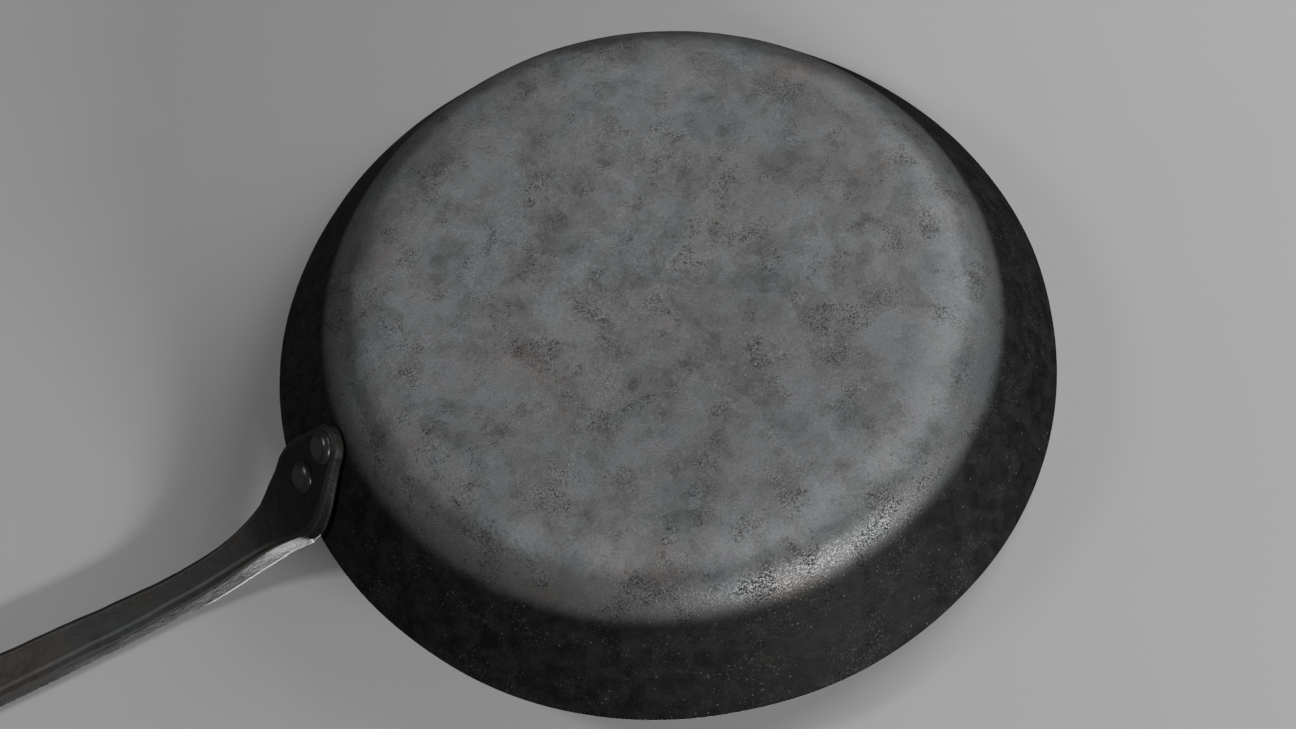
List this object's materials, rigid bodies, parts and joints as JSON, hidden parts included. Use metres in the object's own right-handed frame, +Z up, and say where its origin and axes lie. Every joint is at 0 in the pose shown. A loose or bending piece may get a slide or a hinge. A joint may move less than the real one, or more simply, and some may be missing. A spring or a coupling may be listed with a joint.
{
  "type": "frying pan",
  "caption": "Shallow round steel frying pan: flat base, rounded shoulder and sloping wall, with a forged bar handle riveted outside the wall and a hanging eye at its end.",
  "frame": {"origin": "middle of the base's outer face, which the pan stands on", "axes": "+Z up out of the cooking side, +X along the handle, +Y across the pan"},
  "size_m": [0.4896, 0.279, 0.1001],
  "materials": {
    "seasoned_sheet": "carbon steel sheet with a worn black oil seasoning, mottled grey on the base",
    "forged_bar": "forged steel with dark scale, rubbed grey-brown on the flat faces",
    "rivet_steel": "peened steel under the same seasoning, polished on the crowns"
  },
  "bodies": {
    "root": {"pan_body": "seasoned_sheet", "handle": "forged_bar", "rivet_upper": "rivet_steel", "rivet_lower": "rivet_steel"}
  },
  "joints": []
}
